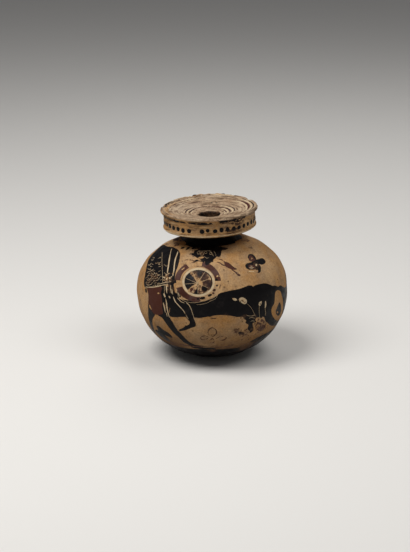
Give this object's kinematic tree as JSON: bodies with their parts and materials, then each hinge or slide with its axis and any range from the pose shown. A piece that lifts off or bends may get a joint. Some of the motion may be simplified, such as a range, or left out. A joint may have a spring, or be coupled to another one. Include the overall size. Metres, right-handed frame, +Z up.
{
  "type": "round aryballos",
  "caption": "Small globular thrown clay oil flask with a broad pierced disc mouth, short neck, strap handle and a dimpled resting ring.",
  "frame": {"origin": "centre of the resting ring, on the surface the flask stands on", "axes": "+Z up through the bore, +Y towards the strap handle, -Y the painted front"},
  "size_m": [0.0619, 0.062, 0.0631],
  "materials": {
    "fired_clay": "fine buff clay, hand-smoothed, matt, with painted slip decoration",
    "black_slip": "fired clay slip, brownish black, soft sheen"
  },
  "bodies": {
    "root": {"body": "fired_clay", "mouthpiece": "fired_clay", "strap_handle": "fired_clay", "neck_luting": "black_slip", "handle_head_luting": "fired_clay", "handle_root_luting": "fired_clay"}
  },
  "joints": []
}
